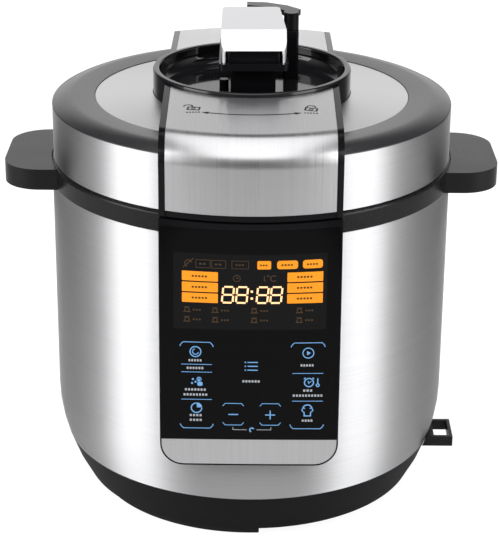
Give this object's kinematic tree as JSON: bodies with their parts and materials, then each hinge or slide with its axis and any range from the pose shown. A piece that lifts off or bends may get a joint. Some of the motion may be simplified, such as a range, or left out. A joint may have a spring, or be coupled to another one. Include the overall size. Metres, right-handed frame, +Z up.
{
  "type": "electric pressure cooker",
  "caption": "Round electric pressure cooker with a hinged locking lid, strap over the lid, turning handle, front control panel and two ear handles.",
  "frame": {"origin": "on the table, under the middle of the pot", "axes": "+X to the right seen from the front, +Y to the back, +Z up; the control panel faces -Y"},
  "size_m": [0.358, 0.3152, 0.355],
  "materials": {
    "brushed_steel": "fine horizontal brushing",
    "dark_rim": "satin dark grey",
    "black_plastic": "fine matt moulding",
    "black_gloss": "polished",
    "chrome": "polished",
    "pin_metal": "satin",
    "coated_aluminium": "non-stick coating",
    "aluminium": "cast and turned",
    "steel": "zinc plated",
    "rubber": "matt",
    "silicone": "translucent silicone",
    "circuit_board": "solder mask",
    "component": "moulded",
    "brass_pin": "plated",
    "clear_plastic": "clear"
  },
  "bodies": {
    "housing": {"base_shell": "black_plastic", "foot_1": "rubber", "foot_2": "rubber", "foot_3": "rubber", "outer_shell": "brushed_steel", "upper_collar": "black_plastic", "outer_pot": "aluminium", "inner_pot": "coated_aluminium", "heating_plate": "aluminium", "temperature_sensor": "aluminium", "sensor_bracket": "steel", "sensor_spring": "steel", "pot_post_1": "steel", "pot_post_2": "steel", "pot_post_3": "steel", "power_board": "circuit_board", "relay": "component", "transformer": "component", "terminal_block": "component", "thermal_fuse": "component", "pressure_switch": "component", "panel_housing": "black_plastic", "panel_overlay": "black_gloss", "panel_strip": "brushed_steel", "display_module": "component", "control_board": "circuit_board", "power_inlet": "black_plastic", "inlet_pins": "brass_pin", "spoon_holder": "black_plastic", "cup_bracket": "black_plastic", "drain_spout": "black_plastic", "hinge_block": "black_plastic", "hinge_pin": "steel", "hinge_springs": "steel"},
    "lid": {"lid_carrier": "black_plastic", "lid_skirt": "brushed_steel", "lid_rim": "dark_rim", "lid_plate": "brushed_steel", "dish": "black_gloss", "front_band_frame": "black_plastic", "front_band_sheet": "brushed_steel", "rear_band_frame": "black_plastic", "rear_band_sheet": "brushed_steel", "pressure_lid": "aluminium", "sealing_ring": "silicone", "vent_pipe": "steel", "vent_shield": "steel", "valve_post": "black_plastic", "hinge_arm_left": "steel", "hinge_arm_right": "steel"},
    "lock": {"handle_cap": "chrome", "handle_core": "black_plastic", "drive_shaft": "steel", "drive_spider": "steel", "lock_ring": "steel"},
    "release_lever": {"release_lever": "black_plastic"},
    "float_valve": {"float_pin": "pin_metal", "float_seal": "silicone"},
    "condensate_cup": {"condensate_cup": "clear_plastic"}
  },
  "joints": [
    {"name": "lid_hinge", "type": "hinge", "parent": "housing", "child": "lid", "pos_m": [0, 0.151, 0.2418], "axis": [-1, 0, 0], "range_deg": [0, 80]},
    {"name": "lock_turn", "type": "hinge", "parent": "lid", "child": "lock", "pos_m": [0, 0, 0.304], "axis": [0, 0, 1], "range_deg": [0, 30]},
    {"name": "exhaust_lever", "type": "hinge", "parent": "lid", "child": "release_lever", "pos_m": [0.0285, 0.024, 0.34], "axis": [0, 0, 1], "range_deg": [-60, 0]},
    {"name": "float_rise", "type": "slide", "parent": "lid", "child": "float_valve", "axis": [0, 0, 1], "range_m": [0, 0.004]},
    {"name": "cup_pull", "type": "slide", "parent": "housing", "child": "condensate_cup", "axis": [0, 1, 0], "range_m": [0, 0.04]}
  ]
}
